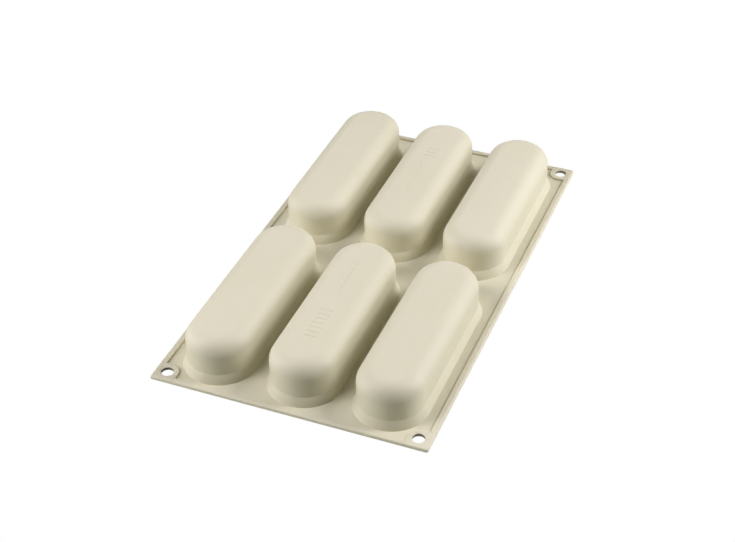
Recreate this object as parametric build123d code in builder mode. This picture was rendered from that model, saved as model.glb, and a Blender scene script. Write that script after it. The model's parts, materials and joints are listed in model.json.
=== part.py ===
from build123d import *

import os
from math import atan2, cos, degrees, tan

# A flexible silicone baking mould for six small baguettes, lying upside down: its open face is on
# the table and its wells stand up. The origin is on the table, under the middle of the sheet.
# X runs across the three columns of wells, Y along them, and Z up. All sizes are in millimetres.

# Sheet
sheet_width = 175.0
sheet_length = 300.0
sheet_corner_radius = 1.2
deck_thickness = 1.1

# Raised border round the sheet, and the corner blocks that carry the hanging holes
border_width = 3.8
border_height = 2.3
border_edge_radius = 0.9
eyelet_width = 15.0
eyelet_length = 14.4
eyelet_round = 7.0
hole_diameter = 7.6

# Wells: straight sides with half-round ends
well_pitch_x = 54.6
well_pitch_y = 148.8
well_length = 133.0
well_width = 41.0
well_top = 29.3
well_rounding = 10.4
wall_thickness = 1.8

# Flared skirt between the deck and a well's upright wall
skirt_width = 46.4
crease_height = 6.8
crease_rounding = 0.8
skirt_top = 9.4

# Faint raised marks on the floors of the two middle wells
mark_height = 0.2
bar_width = 0.9
bar_length = 8.0
bar_pitch = 4.2
dash_width = 0.8
dash_length = 3.2
dash_pitch = 4.6

# Worked-out sizes
straight_length = well_length - well_width
skirt_rise = crease_height - deck_thickness
skirt_slope = atan2((skirt_width - well_width) / 2, skirt_rise)
mouth_inset = wall_thickness / cos(skirt_slope) - deck_thickness * tan(skirt_slope)
mouth_width = skirt_width - 2 * mouth_inset
cavity_width = well_width - 2 * wall_thickness
inner_rise = (mouth_width - cavity_width) / 2 / tan(skirt_slope)

# Directions from the middle of the sheet
columns = {"left": -1, "middle": 0, "right": 1}
rows = {"front": -1, "rear": 1}
sides = {"front": (0, -1), "rear": (0, 1), "left": (-1, 0), "right": (1, 0)}

os.makedirs("parts", exist_ok=True)


def save(piece, name):
    """Label a finished piece and write it under its node's name."""
    piece.label = name
    export_step(piece, f"parts/{name}.step")


def well_plane(row, column, height):
    """Level plane over the middle of one well."""
    return Plane(origin=(columns[column] * well_pitch_x, rows[row] * well_pitch_y / 2, height))


def make_deck():
    """Thin web between the skirts, inside the border and the corner blocks."""
    with BuildPart() as deck:
        with BuildSketch(Plane.XY):
            Rectangle(sheet_width - 2 * border_width, sheet_length - 2 * border_width)
            with GridLocations(sheet_width, sheet_length, 2, 2):
                RectangleRounded(2 * eyelet_width, 2 * eyelet_length, eyelet_round, mode=Mode.SUBTRACT)
            with GridLocations(well_pitch_x, well_pitch_y, 3, 2):
                SlotCenterToCenter(straight_length, skirt_width, rotation=90, mode=Mode.SUBTRACT)
        extrude(amount=deck_thickness)
    return deck


def make_border_strip(side):
    """Raised strip along one side between two corner blocks, rounded along its outer top edge."""
    outward_x, outward_y = sides[side]
    middle = (outward_x * sheet_width / 2, outward_y * sheet_length / 2, 0)
    along = (outward_y, -outward_x, 0)
    half_side = sheet_length / 2 - eyelet_length if outward_x else sheet_width / 2 - eyelet_width
    with BuildPart() as strip:
        with BuildSketch(Plane(origin=middle, x_dir=(outward_x, outward_y, 0), z_dir=along)) as section:
            Rectangle(border_width, border_height, align=(Align.MAX, Align.MIN))
            outer_top = section.vertices().group_by(Axis.X)[-1].sort_by(Axis.Y)[-1]
            fillet(outer_top, radius=border_edge_radius)
        extrude(amount=half_side, both=True)
    return strip


def make_eyelet(row, column):
    """Corner block with a through-hole, merging with the border on both sides of its corner."""
    inward_x = -columns[column]
    inward_y = -rows[row]
    corner = (-inward_x * sheet_width / 2, -inward_y * sheet_length / 2)
    middle = (corner[0] + inward_x * eyelet_width / 2, corner[1] + inward_y * eyelet_length / 2)
    hole = (
        corner[0] + inward_x * (eyelet_width - eyelet_round),
        corner[1] + inward_y * (eyelet_length - eyelet_round),
    )
    with BuildPart() as eyelet:
        with BuildSketch(Plane.XY) as outline:
            with Locations(middle):
                Rectangle(eyelet_width, eyelet_length)
            fillet(outline.vertices().sort_by_distance(corner)[-1], radius=eyelet_round)
            fillet(outline.vertices().sort_by_distance(corner)[0], radius=sheet_corner_radius)
            with Locations(hole):
                Circle(hole_diameter / 2, mode=Mode.SUBTRACT)
        extrude(amount=border_height)
        top_edges = eyelet.faces().sort_by(Axis.Z)[-1].edges()
        fillet(top_edges.sort_by_distance((*corner, border_height))[:3], radius=border_edge_radius)
    return eyelet


def make_skirt(row, column):
    """Ring that flares from a well's upright wall down to the deck and opens as the well's mouth."""
    with BuildPart() as skirt:
        with BuildSketch(well_plane(row, column, 0)):
            SlotCenterToCenter(straight_length, skirt_width, rotation=90)
        extrude(amount=deck_thickness)
        with BuildSketch(well_plane(row, column, deck_thickness)):
            SlotCenterToCenter(straight_length, skirt_width, rotation=90)
        extrude(amount=skirt_rise, taper=degrees(skirt_slope))
        with BuildSketch(well_plane(row, column, crease_height)):
            SlotCenterToCenter(straight_length, well_width, rotation=90)
        extrude(amount=skirt_top - crease_height)
        crease = skirt.edges().filter_by_position(Axis.Z, crease_height - 0.01, crease_height + 0.01)
        fillet(crease, radius=crease_rounding)
        with BuildSketch(well_plane(row, column, 0)):
            SlotCenterToCenter(straight_length, mouth_width, rotation=90)
        extrude(amount=inner_rise, taper=degrees(skirt_slope), mode=Mode.SUBTRACT)
        with BuildSketch(well_plane(row, column, inner_rise)):
            SlotCenterToCenter(straight_length, cavity_width, rotation=90)
        extrude(amount=skirt_top - inner_rise, mode=Mode.SUBTRACT)
    return skirt


def make_well(row, column):
    """Upright shell with a large rounding up to its flat floor, open at the bottom."""
    with BuildPart() as well:
        with BuildSketch(well_plane(row, column, skirt_top)):
            SlotCenterToCenter(straight_length, well_width, rotation=90)
        extrude(amount=well_top - skirt_top)
        fillet(well.faces().sort_by(Axis.Z)[-1].edges(), radius=well_rounding)
        offset(amount=-wall_thickness, openings=well.faces().sort_by(Axis.Z)[0])
    return well


def make_relief(row, bar_count, bars_at, dash_count, dashes_at):
    """Short bars side by side and a row of dashes, both along the middle of a well's floor."""
    with BuildPart() as relief:
        with BuildSketch(well_plane(row, "middle", well_top)):
            with Locations((0, bars_at)):
                with GridLocations(0, bar_pitch, 1, bar_count):
                    Rectangle(bar_length, bar_width)
            with Locations((0, dashes_at)):
                with GridLocations(0, dash_pitch, 1, dash_count):
                    Rectangle(dash_width, dash_length)
        extrude(amount=mark_height)
    return relief


save(make_deck().part, "deck_sheet")

for side in sides:
    save(make_border_strip(side).part, f"border_{side}")

for row in rows:
    for column in ("left", "right"):
        save(make_eyelet(row, column).part, f"eyelet_{row}_{column}")

for row in rows:
    for column in columns:
        save(make_skirt(row, column).part, f"skirt_{row}_{column}")
        save(make_well(row, column).part, f"well_{row}_{column}")

save(make_relief("front", 7, -24.0, 7, 23.0).part, "relief_front_middle")
save(make_relief("rear", 3, 23.0, 7, -10.0).part, "relief_rear_middle")
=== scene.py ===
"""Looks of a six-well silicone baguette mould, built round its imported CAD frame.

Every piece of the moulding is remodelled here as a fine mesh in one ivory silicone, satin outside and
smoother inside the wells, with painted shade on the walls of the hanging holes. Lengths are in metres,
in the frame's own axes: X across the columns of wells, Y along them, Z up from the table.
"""

import json
from math import atan2, cos, hypot, pi, radians, sin, tan

import bmesh
import bpy
from mathutils import Matrix, Vector


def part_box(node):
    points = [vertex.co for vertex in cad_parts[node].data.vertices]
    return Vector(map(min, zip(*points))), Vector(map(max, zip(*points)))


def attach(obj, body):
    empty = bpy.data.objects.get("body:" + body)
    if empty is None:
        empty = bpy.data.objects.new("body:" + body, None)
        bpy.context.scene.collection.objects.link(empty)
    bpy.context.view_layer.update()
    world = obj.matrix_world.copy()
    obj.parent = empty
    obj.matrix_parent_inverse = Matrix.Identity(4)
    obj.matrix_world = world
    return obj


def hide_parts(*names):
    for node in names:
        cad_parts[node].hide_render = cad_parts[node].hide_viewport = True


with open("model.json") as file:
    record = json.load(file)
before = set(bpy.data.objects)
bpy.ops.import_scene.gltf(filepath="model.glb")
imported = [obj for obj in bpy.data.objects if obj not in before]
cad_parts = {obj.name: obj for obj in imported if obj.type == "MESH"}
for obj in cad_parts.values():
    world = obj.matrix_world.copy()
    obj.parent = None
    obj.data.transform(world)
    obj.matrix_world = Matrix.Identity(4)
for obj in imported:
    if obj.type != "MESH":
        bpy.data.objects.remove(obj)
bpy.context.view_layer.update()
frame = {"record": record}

bl_info = {
    "name": "Silicone baguette mould",
    "version": (1, 0, 0),
    "blender": (4, 5, 0),
    "location": "3D View > Sidebar > Mould",
    "description": "Builds the sheet, wells, skirts, raised marks and studio of a baguette mould",
    "category": "Object",
}

MM = 0.001
SAME_PLACE = 1e-6
SAME_RING = 1e-5
WHITE = (1.0, 1.0, 1.0, 1.0)

ROWS = ("front", "rear")
COLUMNS = ("left", "middle", "right")
SIDES = ("front", "rear", "left", "right")

# How finely the meshes are divided
END_STEPS = 48
SIDE_STEPS = 6
ROUNDING_SEGMENTS = 24
INNER_ROUNDING_SEGMENTS = 20
HOLE_SEGMENTS = 48
CORNER_SEGMENTS = 10
CREASE_SEGMENTS = 10
OUTER_EDGE_SEGMENTS = 6
MOUTH_EDGE_SEGMENTS = 5
STEP_EDGE_SEGMENTS = 4
MARK_SEGMENTS = 3
SHARP_ANGLE = radians(30)

# How level a face has to be, and how upright, as the size of its normal's upward part
LEVEL = 0.5
UPRIGHT = 0.1

# How squarely a face has to look at the middle of a cavity to be part of the baking face
LOOKING_IN = 0.3

# How many raised marks stand on the floor of each middle well
BAR_COUNTS = {"front": 7, "rear": 3}
DASH_COUNT = 7

# Noise scales, in repeats per metre
TONE_SCALE = 22.0
RIPPLE_SCALE = 70.0
MOTTLE_SCALE = 420.0
GRAIN_SCALE = 2400.0

# Share of the finer noise in the uneven tone and in the bump
MOTTLE_SHARE = 0.3
GRAIN_SHARE = 0.4

# Band of noise values that the uneven tone spreads from none to full
TONE_LOW = 0.36
TONE_HIGH = 0.66

# Depth of the bump, and how strongly it shows
OUTER_GRAIN_DEPTH = 0.05 * MM
INNER_GRAIN_DEPTH = 0.02 * MM
GRAIN_STRENGTH = 0.4

# Camera sensor in millimetres, and how far the floor runs out from its middle
SENSOR_WIDTH = 36.0
FLOOR_REACH = 12.0


# ---------------------------------------------------------------- settings

class MouldSheetSettings(bpy.types.PropertyGroup):
    """Edges of the flat sheet, its border and its corner blocks."""

    corner_radius: bpy.props.FloatProperty(
        name="Corner radius", description="Rounding of the sheet's four outer corners",
        default=1.2 * MM, min=0.0, subtype="DISTANCE", unit="LENGTH")
    outer_edge: bpy.props.FloatProperty(
        name="Outer edge", description="Rounding along the top edge of the sheet's outline",
        default=0.9 * MM, min=0.0, subtype="DISTANCE", unit="LENGTH")
    step_edge: bpy.props.FloatProperty(
        name="Step edge", description="Rounding where the border and the blocks stand above the deck",
        default=0.25 * MM, min=0.0, subtype="DISTANCE", unit="LENGTH")
    hole_edge: bpy.props.FloatProperty(
        name="Hole edge", description="Rounding round both ends of a hanging hole",
        default=0.3 * MM, min=0.0, subtype="DISTANCE", unit="LENGTH")


class MouldWellSettings(bpy.types.PropertyGroup):
    """Shape of the wells and of the skirts that carry them."""

    wall: bpy.props.FloatProperty(
        name="Wall", description="Thickness of a well's wall and floor",
        default=1.8 * MM, min=0.0, subtype="DISTANCE", unit="LENGTH")
    rounding: bpy.props.FloatProperty(
        name="Rounding", description="Outer radius between a well's upright wall and its floor",
        default=10.4 * MM, min=0.0, subtype="DISTANCE", unit="LENGTH")
    crease_height: bpy.props.FloatProperty(
        name="Crease height", description="Where the skirt's slope would meet the upright wall",
        default=6.8 * MM, min=0.0, subtype="DISTANCE", unit="LENGTH")
    crease_rounding: bpy.props.FloatProperty(
        name="Crease rounding", description="Radius of the hollow between the skirt and the wall",
        default=0.8 * MM, min=0.0, subtype="DISTANCE", unit="LENGTH")
    mouth_edge: bpy.props.FloatProperty(
        name="Mouth edge", description="Rounding of the lip round a well's open mouth",
        default=0.4 * MM, min=0.0, subtype="DISTANCE", unit="LENGTH")


class MouldMarkSettings(bpy.types.PropertyGroup):
    """Plain raised bars and dashes on the floors of the two middle wells."""

    bar_pitch: bpy.props.FloatProperty(
        name="Bar pitch", description="From one bar to the next",
        default=4.2 * MM, min=0.0, subtype="DISTANCE", unit="LENGTH")
    bar_width: bpy.props.FloatProperty(
        name="Bar width", description="Size of a bar along the well",
        default=0.9 * MM, min=0.0, subtype="DISTANCE", unit="LENGTH")
    dash_pitch: bpy.props.FloatProperty(
        name="Dash pitch", description="From one dash to the next",
        default=4.6 * MM, min=0.0, subtype="DISTANCE", unit="LENGTH")
    dash_length: bpy.props.FloatProperty(
        name="Dash length", description="Size of a dash along the well",
        default=3.2 * MM, min=0.0, subtype="DISTANCE", unit="LENGTH")
    dash_width: bpy.props.FloatProperty(
        name="Dash width", description="Size of a dash across the well",
        default=0.8 * MM, min=0.0, subtype="DISTANCE", unit="LENGTH")
    softness: bpy.props.FloatProperty(
        name="Softness", description="Rounding of a mark's top edges",
        default=0.1 * MM, min=0.0, subtype="DISTANCE", unit="LENGTH")


class MouldSiliconeSettings(bpy.types.PropertyGroup):
    """Colour and surface of the silicone."""

    colour: bpy.props.FloatVectorProperty(
        name="Colour", description="Body colour of the silicone", subtype="COLOR",
        size=3, min=0.0, max=1.0, default=(0.70, 0.668, 0.490))
    worn_colour: bpy.props.FloatVectorProperty(
        name="Worn colour", description="Faint uneven tone left by handling and baking", subtype="COLOR",
        size=3, min=0.0, max=1.0, default=(0.665, 0.634, 0.452))
    # Painted shade, not a stain: a near-black colour on the hole walls that stands in for the shade inside
    # the hanging holes
    painted_hole_shade_colour: bpy.props.FloatVectorProperty(
        name="Stained colour", description="Dark stain on the walls of the hanging holes", subtype="COLOR",
        size=3, min=0.0, max=1.0, default=(0.07, 0.062, 0.040))
    outer_roughness: bpy.props.FloatProperty(
        name="Outer roughness", description="Roughness of the satin outer face",
        default=0.54, min=0.0, max=1.0, subtype="FACTOR")
    inner_roughness: bpy.props.FloatProperty(
        name="Inner roughness", description="Roughness of the smooth baking face inside the wells",
        default=0.30, min=0.0, max=1.0, subtype="FACTOR")


class MouldStageSettings(bpy.types.PropertyGroup):
    """Camera, floor and studio light."""

    azimuth: bpy.props.FloatProperty(
        name="Azimuth", description="Camera's turn from the front towards the right-hand side",
        default=radians(22.46), subtype="ANGLE", unit="ROTATION")
    elevation: bpy.props.FloatProperty(
        name="Elevation", description="Camera's height above the horizon",
        default=radians(37.48), subtype="ANGLE", unit="ROTATION")
    roll: bpy.props.FloatProperty(
        name="Roll", description="Camera's turn about its own line of sight",
        default=radians(-1.01), subtype="ANGLE", unit="ROTATION")
    distance: bpy.props.FloatProperty(
        name="Distance", description="From the camera to the point that it aims at",
        default=0.954, min=0.0, subtype="DISTANCE", unit="LENGTH")
    lens: bpy.props.FloatProperty(
        name="Lens", description="Focal length in millimetres, on a sensor 36 mm wide",
        default=74.22, min=1.0)
    aim: bpy.props.FloatVectorProperty(
        name="Aim", description="Point that the camera aims at", size=3, subtype="TRANSLATION",
        unit="LENGTH", default=(0.0014, -0.0248, 0.0150))
    floor_glow: bpy.props.FloatProperty(
        name="Floor glow", description="Brightness of the floor to the camera, where 1 is plain white",
        default=1.0, min=0.0, max=1.0, subtype="FACTOR")
    floor_colour: bpy.props.FloatVectorProperty(
        name="Floor colour", description="Colour of the light that the floor gives back", subtype="COLOR",
        size=3, min=0.0, max=1.0, default=(0.46, 0.48, 0.38))
    panel_width: bpy.props.FloatProperty(
        name="Panel width", description="Width of each soft lamp panel",
        default=0.45, min=0.01, subtype="DISTANCE", unit="LENGTH")
    panel_height: bpy.props.FloatProperty(
        name="Panel height", description="Height of each soft lamp panel",
        default=0.40, min=0.01, subtype="DISTANCE", unit="LENGTH")
    panel_distance: bpy.props.FloatProperty(
        name="Panel distance", description="From the middle of the mould to each lamp panel",
        default=1.2, min=0.1, subtype="DISTANCE", unit="LENGTH")
    lamp_colour: bpy.props.FloatVectorProperty(
        name="Lamp colour", description="Colour of the light from the lamp panels", subtype="COLOR",
        size=3, min=0.0, max=1.0, default=(0.947, 0.921, 1.0))


# ---------------------------------------------------------------- shader groups

def new_group(name, inputs, outputs):
    """New shader node group with its named sockets, its input node and its output node."""
    group = bpy.data.node_groups.new(name, "ShaderNodeTree")
    for socket_name, kind, default in inputs:
        socket = group.interface.new_socket(name=socket_name, in_out="INPUT", socket_type=kind)
        if default is not None:
            socket.default_value = default
    for socket_name, kind in outputs:
        group.interface.new_socket(name=socket_name, in_out="OUTPUT", socket_type=kind)
    return group, group.nodes.new("NodeGroupInput"), group.nodes.new("NodeGroupOutput")


def add_noise(group, coordinates, scale, detail):
    """Noise texture that reads the given coordinates."""
    node = group.nodes.new("ShaderNodeTexNoise")
    node.inputs["Scale"].default_value = scale
    node.inputs["Detail"].default_value = detail
    group.links.new(coordinates, node.inputs["Vector"])
    return node


def add_math(tree, operation, first, second):
    """Output of a new math node with two inputs, each a socket or a number."""
    node = tree.nodes.new("ShaderNodeMath")
    node.operation = operation
    for place, value in enumerate((first, second)):
        if isinstance(value, bpy.types.NodeSocket):
            tree.links.new(value, node.inputs[place])
        else:
            node.inputs[place].default_value = value
    return node.outputs["Value"]


def uneven_tone_group():
    """Broad, soft change of tone over the moulding, with a little fine mottle in it."""
    name = "Uneven silicone tone"
    if name in bpy.data.node_groups:
        return bpy.data.node_groups[name]
    group, entry, result = new_group(
        name,
        [("Coordinates", "NodeSocketVector", None), ("Body", "NodeSocketColor", WHITE),
         ("Worn", "NodeSocketColor", WHITE), ("Amount", "NodeSocketFloat", 0.5)],
        [("Color", "NodeSocketColor")])
    broad = add_noise(group, entry.outputs["Coordinates"], TONE_SCALE, 3.0)
    mottle = add_noise(group, entry.outputs["Coordinates"], MOTTLE_SCALE, 2.0)
    both = add_math(
        group, "ADD",
        add_math(group, "MULTIPLY", broad.outputs["Fac"], 1.0 - MOTTLE_SHARE),
        add_math(group, "MULTIPLY", mottle.outputs["Fac"], MOTTLE_SHARE))
    spread = group.nodes.new("ShaderNodeMapRange")
    spread.inputs["From Min"].default_value = TONE_LOW
    spread.inputs["From Max"].default_value = TONE_HIGH
    group.links.new(both, spread.inputs["Value"])
    share = add_math(group, "MULTIPLY", spread.outputs["Result"], entry.outputs["Amount"])
    tint = group.nodes.new("ShaderNodeMixRGB")
    group.links.new(share, tint.inputs["Fac"])
    group.links.new(entry.outputs["Body"], tint.inputs["Color1"])
    group.links.new(entry.outputs["Worn"], tint.inputs["Color2"])
    group.links.new(tint.outputs["Color"], result.inputs["Color"])
    return group


def satin_grain_group():
    """Fine moulded grain: a height for the bump, and a roughness that wanders a little."""
    name = "Satin moulded grain"
    if name in bpy.data.node_groups:
        return bpy.data.node_groups[name]
    group, entry, result = new_group(
        name,
        [("Coordinates", "NodeSocketVector", None), ("Roughness", "NodeSocketFloat", 0.45),
         ("Wander", "NodeSocketFloat", 0.1)],
        [("Height", "NodeSocketFloat"), ("Roughness", "NodeSocketFloat")])
    grain = add_noise(group, entry.outputs["Coordinates"], GRAIN_SCALE, 2.0)
    ripple = add_noise(group, entry.outputs["Coordinates"], RIPPLE_SCALE, 2.0)
    height = add_math(
        group, "ADD",
        add_math(group, "MULTIPLY", grain.outputs["Fac"], GRAIN_SHARE),
        add_math(group, "MULTIPLY", ripple.outputs["Fac"], 1.0 - GRAIN_SHARE))
    group.links.new(height, result.inputs["Height"])
    centred = add_math(group, "SUBTRACT", ripple.outputs["Fac"], 0.5)
    change = add_math(group, "MULTIPLY", centred, entry.outputs["Wander"])
    total = add_math(group, "ADD", entry.outputs["Roughness"], change)
    group.links.new(total, result.inputs["Roughness"])
    return group


# ---------------------------------------------------------------- materials

def silicone_material(name, body, roughness, grain_depth):
    """Silicone with a satin face, a faint sheen at grazing angles and an uneven tone."""
    if name in bpy.data.materials:
        return bpy.data.materials[name]
    material = bpy.data.materials.new(name)
    material.use_nodes = True
    tree = material.node_tree
    surface = tree.nodes["Principled BSDF"]
    surface.inputs["IOR"].default_value = 1.42
    surface.inputs["Sheen Weight"].default_value = 0.2
    surface.inputs["Sheen Roughness"].default_value = 0.4
    place = tree.nodes.new("ShaderNodeTexCoord")
    tone = tree.nodes.new("ShaderNodeGroup")
    tone.node_tree = uneven_tone_group()
    tone.inputs["Body"].default_value = (*body, 1.0)
    tone.inputs["Worn"].default_value = (*bpy.context.scene.mould_silicone.worn_colour, 1.0)
    tone.inputs["Amount"].default_value = 0.6
    grain = tree.nodes.new("ShaderNodeGroup")
    grain.node_tree = satin_grain_group()
    grain.inputs["Roughness"].default_value = roughness
    bump = tree.nodes.new("ShaderNodeBump")
    bump.inputs["Strength"].default_value = GRAIN_STRENGTH
    bump.inputs["Distance"].default_value = grain_depth
    tree.links.new(place.outputs["Object"], tone.inputs["Coordinates"])
    tree.links.new(place.outputs["Object"], grain.inputs["Coordinates"])
    tree.links.new(tone.outputs["Color"], surface.inputs["Base Color"])
    tree.links.new(grain.outputs["Roughness"], surface.inputs["Roughness"])
    tree.links.new(grain.outputs["Height"], bump.inputs["Height"])
    tree.links.new(bump.outputs["Normal"], surface.inputs["Normal"])
    return material


def outer_silicone():
    """Satin outside of the moulding."""
    silicone = bpy.context.scene.mould_silicone
    return silicone_material("silicone_outer", silicone.colour, silicone.outer_roughness, OUTER_GRAIN_DEPTH)


def inner_silicone():
    """Smoother baking face inside the wells."""
    silicone = bpy.context.scene.mould_silicone
    return silicone_material("silicone_inner", silicone.colour, silicone.inner_roughness, INNER_GRAIN_DEPTH)


def painted_hole_shade_silicone():
    """Painted shade on the walls of the hanging holes: a near-black colour standing in for the shade inside
    them.
    """
    silicone = bpy.context.scene.mould_silicone
    return silicone_material(
        "silicone_painted_hole_shade", silicone.painted_hole_shade_colour, silicone.outer_roughness, OUTER_GRAIN_DEPTH)


def floor_material():
    """Pale studio floor: plain white to look at, matte to the light, and clear from below and to lamps."""
    stage = bpy.context.scene.mould_stage
    material = bpy.data.materials.new("studio_floor")
    material.use_nodes = True
    tree = material.node_tree
    tree.nodes.remove(tree.nodes["Principled BSDF"])
    matte = tree.nodes.new("ShaderNodeBsdfDiffuse")
    matte.inputs["Color"].default_value = (*stage.floor_colour, 1.0)
    glow = tree.nodes.new("ShaderNodeEmission")
    glow.inputs["Strength"].default_value = stage.floor_glow
    path = tree.nodes.new("ShaderNodeLightPath")
    seen = tree.nodes.new("ShaderNodeMixShader")
    tree.links.new(path.outputs["Is Camera Ray"], seen.inputs["Fac"])
    tree.links.new(matte.outputs["BSDF"], seen.inputs[1])
    tree.links.new(glow.outputs["Emission"], seen.inputs[2])
    below = tree.nodes.new("ShaderNodeNewGeometry")
    let_through = add_math(tree, "MAXIMUM", below.outputs["Backfacing"], path.outputs["Is Shadow Ray"])
    clear = tree.nodes.new("ShaderNodeBsdfTransparent")
    sided = tree.nodes.new("ShaderNodeMixShader")
    tree.links.new(let_through, sided.inputs["Fac"])
    tree.links.new(seen.outputs["Shader"], sided.inputs[1])
    tree.links.new(clear.outputs["BSDF"], sided.inputs[2])
    tree.links.new(sided.outputs["Shader"], tree.nodes["Material Output"].inputs["Surface"])
    return material


# ---------------------------------------------------------------- mesh helpers

def spin(bm, geometry, centre, angle, steps, travel=(0.0, 0.0, 0.0)):
    """Sweep geometry round an upright axis, or along travel at each step, and return its last place."""
    swept = bmesh.ops.spin(
        bm, geom=geometry, cent=centre, axis=(0, 0, 1), dvec=travel, angle=angle,
        space=Matrix.Identity(4), steps=steps, use_merge=False, use_normal_flip=False,
        use_duplicate=False)
    return swept["geom_last"]


def sweep_slot(bm, geometry, centre, half_straight):
    """Carry a profile, standing on the right at the rear end's centre, once round a slot."""
    x, y = centre
    step = 2 * half_straight / SIDE_STEPS
    geometry = spin(bm, geometry, (x, y + half_straight, 0), pi, END_STEPS)
    geometry = spin(bm, geometry, (0, 0, 0), 0, SIDE_STEPS, (0, -step, 0))
    geometry = spin(bm, geometry, (x, y - half_straight, 0), pi, END_STEPS)
    spin(bm, geometry, (0, 0, 0), 0, SIDE_STEPS, (0, step, 0))
    bmesh.ops.remove_doubles(bm, verts=bm.verts, dist=SAME_PLACE)


def add_chain(bm, points, closed):
    """Vertices joined in a row by edges, and back to the first one when closed."""
    verts = [bm.verts.new(point) for point in points]
    ends = verts[1:] + verts[:1] if closed else verts[1:]
    edges = [bm.edges.new(pair) for pair in zip(verts, ends)]
    return verts + edges


def round_off(bm, geometry, size, segments, affect="EDGES"):
    """Round edges or corners with an even bevel."""
    bmesh.ops.bevel(
        bm, geom=geometry, offset=size, offset_type="OFFSET", segments=segments, profile=0.5,
        affect=affect, clamp_overlap=False, material=-1)


def edges_where(bm, test):
    """Edges whose two ends both pass a test."""
    return [edge for edge in bm.edges if all(test(vert.co) for vert in edge.verts)]


def slot_reach(point, centre, half_straight):
    """How far a point stands out from a slot's middle line, seen from above."""
    along = max(0.0, abs(point.y - centre[1]) - half_straight)
    return hypot(point.x - centre[0], along)


def slot_edges(bm, centre, half_straight, reach, height):
    """Edges that run round a slot at one reach and one height."""
    def on_ring(point):
        off_reach = abs(slot_reach(point, centre, half_straight) - reach)
        return off_reach < SAME_RING and abs(point.z - height) < SAME_RING
    return edges_where(bm, on_ring)


def slot_of(node):
    """Centre, reach and half the straight length of a slot-shaped node, and its lowest and highest z."""
    low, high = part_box(node)
    centre = ((low.x + high.x) / 2, (low.y + high.y) / 2)
    reach = (high.x - low.x) / 2
    return centre, reach, (high.y - low.y) / 2 - reach, low.z, high.z


def raise_faces(bm, height):
    """Give flat faces a thickness upwards."""
    raised = bmesh.ops.extrude_face_region(bm, geom=bm.faces[:], use_keep_orig=True)
    verts = [item for item in raised["geom"] if isinstance(item, bmesh.types.BMVert)]
    bmesh.ops.translate(bm, verts=verts, vec=(0, 0, height))
    bmesh.ops.recalc_face_normals(bm, faces=bm.faces)


def finish_piece(name, bm, node, materials):
    """Turn a bmesh into the finished piece that stands for one CAD node."""
    bmesh.ops.remove_doubles(bm, verts=bm.verts, dist=SAME_PLACE)
    bmesh.ops.recalc_face_normals(bm, faces=bm.faces)
    mesh = bpy.data.meshes.new(name)
    bm.to_mesh(mesh)
    bm.free()
    for material in materials:
        mesh.materials.append(material)
    mesh.shade_smooth()
    mesh.set_sharp_from_angle(angle=SHARP_ANGLE)
    piece = bpy.data.objects.new(name, mesh)
    bpy.context.scene.collection.objects.link(piece)
    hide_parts(node)
    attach(piece, "root")
    return piece


# ---------------------------------------------------------------- pieces

def hanging_hole(row, column):
    """Centre and radius of a corner block's hole, and the radius of the block's rounding round it."""
    mounts = frame["record"]["mounts"]
    hole = next(mount for mount in mounts if mount["name"] == f"hole_{row}_{column}")
    centre = Vector(hole["pos_m"])
    low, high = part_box(f"eyelet_{row}_{column}")
    inner_side = min(abs(low.x), abs(high.x))
    return centre, hole["dims"]["r_mm"] * MM, abs(centre.x) - inner_side


def build_deck():
    """Thin web round the feet of the wells, inside the border and the corner blocks."""
    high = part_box("deck_sheet")[1]
    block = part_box("eyelet_rear_right")[0]
    block_round = hanging_hole("rear", "right")[2]
    bm = bmesh.new()
    corners = []
    outline = []
    for side_x, side_y in ((1, 1), (-1, 1), (-1, -1), (1, -1)):
        along_side = bm.verts.new((side_x * high.x, side_y * block.y, 0))
        inner = bm.verts.new((side_x * block.x, side_y * block.y, 0))
        along_end = bm.verts.new((side_x * block.x, side_y * high.y, 0))
        corners.append(inner)
        outline += [along_side, inner, along_end][::side_x * side_y]
    bm.faces.new(outline)
    round_off(bm, corners, block_round, ROUNDING_SEGMENTS, affect="VERTICES")
    bmesh.ops.delete(bm, geom=bm.faces[:], context="FACES_ONLY")
    for row in ROWS:
        for column in COLUMNS:
            centre, reach, half_straight, _, _ = slot_of(f"skirt_{row}_{column}")
            start = bm.verts.new((centre[0] + reach, centre[1] + half_straight, 0))
            sweep_slot(bm, [start], centre, half_straight)
    bmesh.ops.triangle_fill(bm, use_beauty=True, use_dissolve=False, edges=bm.edges[:])
    raise_faces(bm, high.z)
    return finish_piece("deck_web", bm, "deck_sheet", [outer_silicone()])


def build_border(side):
    """Raised strip along one side, softened along its edges."""
    sheet = bpy.context.scene.mould_sheet
    low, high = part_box(f"border_{side}")
    middle = (low + high) / 2
    size = high - low
    across = 0 if size.x < size.y else 1
    bm = bmesh.new()
    bmesh.ops.create_cube(bm, size=1.0, matrix=Matrix.Translation(middle) @ Matrix.Diagonal((*size, 1.0)))

    def long_edge(outer, height):
        towards = 1 if outer else -1
        place = middle[across] + towards * size[across] / 2 * (1 if middle[across] > 0 else -1)
        return edges_where(
            bm, lambda p: abs(p[across] - place) < SAME_PLACE and abs(p.z - height) < SAME_PLACE)

    round_off(bm, long_edge(True, high.z), sheet.outer_edge, OUTER_EDGE_SEGMENTS)
    round_off(bm, long_edge(False, high.z), sheet.step_edge, STEP_EDGE_SEGMENTS)
    round_off(bm, long_edge(True, low.z), sheet.step_edge, STEP_EDGE_SEGMENTS)
    return finish_piece(f"border_strip_{side}", bm, f"border_{side}", [outer_silicone()])


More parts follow.
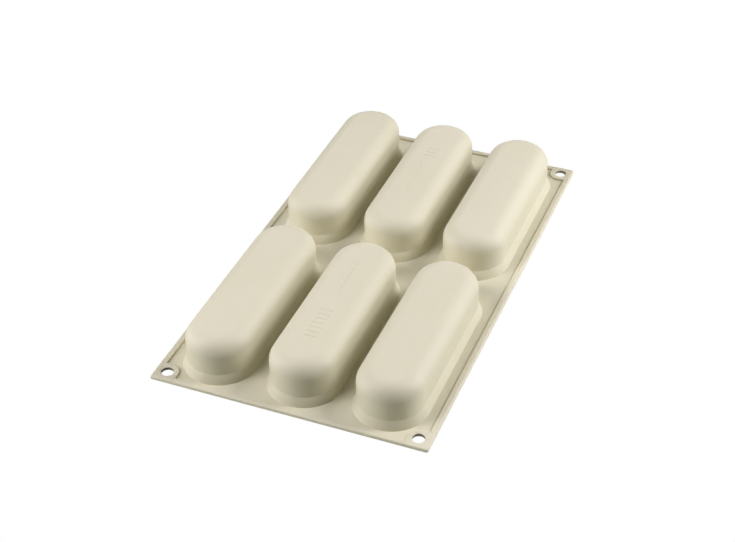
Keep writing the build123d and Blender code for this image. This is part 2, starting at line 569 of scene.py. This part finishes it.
def build_corner_block(row, column):
    """Corner block with its hanging hole."""
    sheet = bpy.context.scene.mould_sheet
    node = f"eyelet_{row}_{column}"
    low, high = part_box(node)
    centre, hole_radius, block_round = hanging_hole(row, column)
    bm = bmesh.new()
    outline = [(low.x, low.y, 0), (high.x, low.y, 0), (high.x, high.y, 0), (low.x, high.y, 0)]
    bm.faces.new([bm.verts.new(point) for point in outline])
    inner, *_, outer = sorted(bm.verts, key=lambda vert: vert.co.length)
    round_off(bm, [outer], sheet.corner_radius, CORNER_SEGMENTS, affect="VERTICES")
    round_off(bm, [inner], block_round, ROUNDING_SEGMENTS, affect="VERTICES")
    bmesh.ops.delete(bm, geom=bm.faces[:], context="FACES_ONLY")
    bmesh.ops.create_circle(
        bm, cap_ends=False, segments=HOLE_SEGMENTS, radius=hole_radius,
        matrix=Matrix.Translation((centre.x, centre.y, 0)))
    bmesh.ops.triangle_fill(bm, use_beauty=True, use_dissolve=False, edges=bm.edges[:])
    raise_faces(bm, high.z)
    flat = [face for face in bm.faces if abs(face.normal.z) > LEVEL]
    # A ring of faces just wider than the widest rounding keeps the flat middle out of the bevels
    margin = 1.2 * max(sheet.outer_edge, sheet.hole_edge)
    bmesh.ops.inset_region(bm, faces=flat, thickness=margin, use_boundary=True, use_even_offset=True)

    def rim(height, choose):
        """Edges between a level face and an upright wall, at one height, that pass a test."""
        chosen = []
        for edge in bm.edges:
            walls = [face for face in edge.link_faces if abs(face.normal.z) < LEVEL]
            if len(walls) == 1 and all(abs(vert.co.z - height) < SAME_PLACE for vert in edge.verts):
                middle = (edge.verts[0].co + edge.verts[1].co) / 2
                if choose(middle, walls[0].normal):
                    chosen.append(edge)
        return chosen

    def round_hole(middle, normal):
        return hypot(middle.x - centre.x, middle.y - centre.y) < hole_radius + SAME_PLACE

    def facing_out(middle, normal):
        return not round_hole(middle, normal) and normal.x * centre.x + normal.y * centre.y > 0

    def facing_in(middle, normal):
        return not round_hole(middle, normal) and normal.x * centre.x + normal.y * centre.y <= 0

    hole_rims = rim(high.z, round_hole) + rim(low.z, round_hole)
    round_off(bm, hole_rims, sheet.hole_edge, STEP_EDGE_SEGMENTS)
    round_off(bm, rim(high.z, facing_out), sheet.outer_edge, OUTER_EDGE_SEGMENTS)
    round_off(bm, rim(high.z, facing_in), sheet.step_edge, STEP_EDGE_SEGMENTS)
    round_off(bm, rim(low.z, facing_out), sheet.step_edge, STEP_EDGE_SEGMENTS)
    # Upright faces round the hole get the second material, painted shade: a near-black colour standing in
    # for the shade inside the hole
    for face in bm.faces:
        middle = face.calc_center_median()
        upright = abs(face.normal.z) < UPRIGHT
        face.material_index = 1 if upright and round_hole(middle, face.normal) else 0
    return finish_piece(f"corner_block_{row}_{column}", bm, node, [outer_silicone(), painted_hole_shade_silicone()])


def build_skirt(row, column):
    """Flared ring between the deck and a well's upright wall, open below as the well's mouth."""
    wells = bpy.context.scene.mould_wells
    node = f"skirt_{row}_{column}"
    centre, foot_reach, half_straight, low_z, high_z = slot_of(node)
    wall_reach = slot_of(f"well_{row}_{column}")[1]
    deck_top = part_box("deck_sheet")[1].z
    slope = atan2(foot_reach - wall_reach, wells.crease_height - deck_top)
    mouth_reach = foot_reach - wells.wall / cos(slope) + deck_top * tan(slope)
    cavity_reach = wall_reach - wells.wall
    inner_crease = (mouth_reach - cavity_reach) / tan(slope)
    profile = [
        (foot_reach, low_z), (foot_reach, deck_top), (wall_reach, wells.crease_height),
        (wall_reach, high_z), (cavity_reach, high_z), (cavity_reach, inner_crease), (mouth_reach, low_z)]
    bm = bmesh.new()
    start = [(centre[0] + reach, centre[1] + half_straight, z) for reach, z in profile]
    sweep_slot(bm, add_chain(bm, start, closed=True), centre, half_straight)
    bmesh.ops.recalc_face_normals(bm, faces=bm.faces)
    outer_run = wells.crease_rounding * tan(slope / 2)
    inner_run = (wells.crease_rounding + wells.wall) * tan(slope / 2)
    outer_ring = slot_edges(bm, centre, half_straight, wall_reach, wells.crease_height)
    round_off(bm, outer_ring, outer_run, CREASE_SEGMENTS)
    inner_ring = slot_edges(bm, centre, half_straight, cavity_reach, inner_crease)
    round_off(bm, inner_ring, inner_run, CREASE_SEGMENTS)
    mouth_ring = slot_edges(bm, centre, half_straight, mouth_reach, low_z)
    round_off(bm, mouth_ring, wells.mouth_edge, MOUTH_EDGE_SEGMENTS)
    mark_baking_face(bm, centre, half_straight)
    return finish_piece(f"skirt_ring_{row}_{column}", bm, node, [outer_silicone(), inner_silicone()])


def build_well(row, column):
    """Upright shell of a well, with its large rounding, its flat floor and its baking face inside."""
    wells = bpy.context.scene.mould_wells
    node = f"well_{row}_{column}"
    centre, reach, half_straight, low_z, high_z = slot_of(node)
    cavity_reach = reach - wells.wall
    cavity_top = high_z - wells.wall
    profile = [
        (0, high_z), (reach, high_z), (reach, low_z), (cavity_reach, low_z), (cavity_reach, cavity_top),
        (0, cavity_top)]
    bm = bmesh.new()
    start = [(centre[0] + out, centre[1] + half_straight, z) for out, z in profile]
    sweep_slot(bm, add_chain(bm, start, closed=False), centre, half_straight)
    bmesh.ops.recalc_face_normals(bm, faces=bm.faces)
    inner_rounding = wells.rounding - wells.wall
    outer_ring = slot_edges(bm, centre, half_straight, reach, high_z)
    round_off(bm, outer_ring, wells.rounding, ROUNDING_SEGMENTS)
    inner_ring = slot_edges(bm, centre, half_straight, cavity_reach, cavity_top)
    round_off(bm, inner_ring, inner_rounding, INNER_ROUNDING_SEGMENTS)
    mark_baking_face(bm, centre, half_straight)
    return finish_piece(f"well_shell_{row}_{column}", bm, node, [outer_silicone(), inner_silicone()])


def mark_baking_face(bm, centre, half_straight):
    """Give the second material to the faces that look into the cavity."""
    bmesh.ops.recalc_face_normals(bm, faces=bm.faces)
    for face in bm.faces:
        middle = face.calc_center_median()
        spine_y = min(max(middle.y, centre[1] - half_straight), centre[1] + half_straight)
        from_spine = middle - Vector((centre[0], spine_y, 0))
        looks_in = face.normal.dot(from_spine) < -LOOKING_IN * from_spine.length
        face.material_index = 1 if looks_in else 0


def add_mark(bm, centre, size, softness):
    """One small raised block with soft top edges."""
    block = bmesh.ops.create_cube(
        bm, size=1.0, matrix=Matrix.Translation(centre) @ Matrix.Diagonal((*size, 1.0)))
    top = [vert for vert in block["verts"] if vert.co.z > centre[2]]
    edges = {edge for vert in top for edge in vert.link_edges if edge.other_vert(vert) in top}
    round_off(bm, list(edges), softness, MARK_SEGMENTS)


def build_marks(row):
    """Raised bars side by side and a line of dashes along the floor of a middle well."""
    marks = bpy.context.scene.mould_marks
    node = f"relief_{row}_middle"
    low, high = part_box(node)
    height = high.z - low.z
    z = (low.z + high.z) / 2
    bars_long = (BAR_COUNTS[row] - 1) * marks.bar_pitch + marks.bar_width
    dashes_long = (DASH_COUNT - 1) * marks.dash_pitch + marks.dash_length
    if row == "front":
        bars_start, dashes_start = low.y, high.y - dashes_long
    else:
        bars_start, dashes_start = high.y - bars_long, low.y
    bm = bmesh.new()
    for number in range(BAR_COUNTS[row]):
        y = bars_start + marks.bar_width / 2 + number * marks.bar_pitch
        add_mark(bm, (0, y, z), (high.x - low.x, marks.bar_width, height), marks.softness)
    for number in range(DASH_COUNT):
        y = dashes_start + marks.dash_length / 2 + number * marks.dash_pitch
        add_mark(bm, (0, y, z), (marks.dash_width, marks.dash_length, height), marks.softness)
    return finish_piece(f"floor_marks_{row}", bm, node, [outer_silicone()])


# ---------------------------------------------------------------- studio

def direction_from(azimuth, elevation):
    """Unit vector from the object towards a camera or lamp; azimuth 0 stands in front."""
    return Vector((
        sin(azimuth) * cos(elevation),
        -cos(azimuth) * cos(elevation),
        sin(elevation)))


def build_camera():
    """Camera aimed at the mould from the front right."""
    stage = bpy.context.scene.mould_stage
    camera = bpy.data.objects.new("camera", bpy.data.cameras.new("camera"))
    bpy.context.scene.collection.objects.link(camera)
    back = direction_from(stage.azimuth, stage.elevation)
    camera.data.lens = stage.lens
    camera.data.sensor_width = SENSOR_WIDTH
    camera.rotation_mode = "QUATERNION"
    camera.location = Vector(stage.aim) + back * stage.distance
    level = (-back).to_track_quat("-Z", "Y")
    camera.rotation_quaternion = level @ Matrix.Rotation(stage.roll, 3, "Z").to_quaternion()
    bpy.context.scene.camera = camera


def soft_panel(name, azimuth, elevation, watts):
    """Soft rectangular lamp, aimed at the mould from a direction in degrees."""
    stage = bpy.context.scene.mould_stage
    lamp = bpy.data.objects.new(name, bpy.data.lights.new(name, "AREA"))
    bpy.context.scene.collection.objects.link(lamp)
    lamp.data.shape = "RECTANGLE"
    lamp.data.size = stage.panel_width
    lamp.data.size_y = stage.panel_height
    lamp.data.energy = watts
    lamp.data.color = stage.lamp_colour
    back = direction_from(radians(azimuth), radians(elevation))
    lamp.rotation_mode = "QUATERNION"
    lamp.location = back * stage.panel_distance
    lamp.rotation_quaternion = (-back).to_track_quat("-Z", "Y")


def build_floor():
    """Wide pale floor that the mould lies on."""
    bm = bmesh.new()
    bmesh.ops.create_grid(bm, x_segments=2, y_segments=2, size=FLOOR_REACH)
    mesh = bpy.data.meshes.new("studio_floor")
    bm.to_mesh(mesh)
    bm.free()
    mesh.materials.append(floor_material())
    floor = bpy.data.objects.new("studio_floor", mesh)
    bpy.context.scene.collection.objects.link(floor)


def build_surroundings():
    """Surroundings that look plain white and give no light of their own."""
    world = bpy.data.worlds.new("studio_room")
    bpy.context.scene.world = world
    world.use_nodes = True
    tree = world.node_tree
    white = tree.nodes["Background"]
    white.inputs["Color"].default_value = WHITE
    path = tree.nodes.new("ShaderNodeLightPath")
    tree.links.new(path.outputs["Is Camera Ray"], white.inputs["Strength"])


# ---------------------------------------------------------------- operators

class MOULD_OT_deck(bpy.types.Operator):
    """Build the thin deck round the wells"""

    bl_idname = "mould.deck"
    bl_label = "Deck"

    def execute(self, context):
        build_deck()
        return {"FINISHED"}


class MOULD_OT_border(bpy.types.Operator):
    """Build the four raised border strips"""

    bl_idname = "mould.border"
    bl_label = "Border strips"

    def execute(self, context):
        for side in SIDES:
            build_border(side)
        return {"FINISHED"}


class MOULD_OT_corner_blocks(bpy.types.Operator):
    """Build the four corner blocks with their hanging holes"""

    bl_idname = "mould.corner_blocks"
    bl_label = "Corner blocks"

    def execute(self, context):
        for row in ROWS:
            build_corner_block(row, "left")
            build_corner_block(row, "right")
        return {"FINISHED"}


class MOULD_OT_skirts(bpy.types.Operator):
    """Build the six flared skirts"""

    bl_idname = "mould.skirts"
    bl_label = "Skirts"

    def execute(self, context):
        for row in ROWS:
            for column in COLUMNS:
                build_skirt(row, column)
        return {"FINISHED"}


class MOULD_OT_wells(bpy.types.Operator):
    """Build the six well shells"""

    bl_idname = "mould.wells"
    bl_label = "Wells"

    def execute(self, context):
        for row in ROWS:
            for column in COLUMNS:
                build_well(row, column)
        return {"FINISHED"}


class MOULD_OT_marks(bpy.types.Operator):
    """Build the raised marks on the middle wells"""

    bl_idname = "mould.marks"
    bl_label = "Raised marks"

    def execute(self, context):
        for row in ROWS:
            build_marks(row)
        return {"FINISHED"}


class MOULD_OT_stage(bpy.types.Operator):
    """Set up the camera, the floor and the studio light"""

    bl_idname = "mould.stage"
    bl_label = "Studio"

    def execute(self, context):
        build_camera()
        build_floor()
        build_surroundings()
        soft_panel("right_panel", azimuth=112, elevation=42, watts=8.2)
        soft_panel("right_low_panel", azimuth=112, elevation=12, watts=5.2)
        soft_panel("right_rear_panel", azimuth=130, elevation=24, watts=3.3)
        soft_panel("left_panel", azimuth=318, elevation=50, watts=5.3)
        soft_panel("left_low_panel", azimuth=308, elevation=30, watts=4.7)
        soft_panel("left_side_panel", azimuth=285, elevation=14, watts=4.8)
        soft_panel("rear_panel", azimuth=205, elevation=55, watts=1.8)
        soft_panel("under_panel", azimuth=30, elevation=-80, watts=8.0)
        context.scene.view_settings.view_transform = "Standard"
        return {"FINISHED"}


class MOULD_PT_builder(bpy.types.Panel):
    """Sidebar panel that lists the build steps"""

    bl_label = "Baguette mould"
    bl_idname = "MOULD_PT_builder"
    bl_space_type = "VIEW_3D"
    bl_region_type = "UI"
    bl_category = "Mould"

    def draw(self, context):
        for operator in BUILD_STEPS:
            self.layout.operator(operator.bl_idname)


BUILD_STEPS = (
    MOULD_OT_deck,
    MOULD_OT_border,
    MOULD_OT_corner_blocks,
    MOULD_OT_skirts,
    MOULD_OT_wells,
    MOULD_OT_marks,
    MOULD_OT_stage,
)

SETTINGS = {
    "mould_sheet": MouldSheetSettings,
    "mould_wells": MouldWellSettings,
    "mould_marks": MouldMarkSettings,
    "mould_silicone": MouldSiliconeSettings,
    "mould_stage": MouldStageSettings,
}


def register():
    for name, settings in SETTINGS.items():
        bpy.utils.register_class(settings)
        setattr(bpy.types.Scene, name, bpy.props.PointerProperty(type=settings))
    for operator in BUILD_STEPS:
        bpy.utils.register_class(operator)
    bpy.utils.register_class(MOULD_PT_builder)


def unregister():
    bpy.utils.unregister_class(MOULD_PT_builder)
    for operator in reversed(BUILD_STEPS):
        bpy.utils.unregister_class(operator)
    for name, settings in reversed(SETTINGS.items()):
        delattr(bpy.types.Scene, name)
        bpy.utils.unregister_class(settings)


def main():
    register()
    bpy.ops.mould.deck()
    bpy.ops.mould.border()
    bpy.ops.mould.corner_blocks()
    bpy.ops.mould.skirts()
    bpy.ops.mould.wells()
    bpy.ops.mould.marks()
    bpy.ops.mould.stage()


if __name__ == "__main__":
    main()
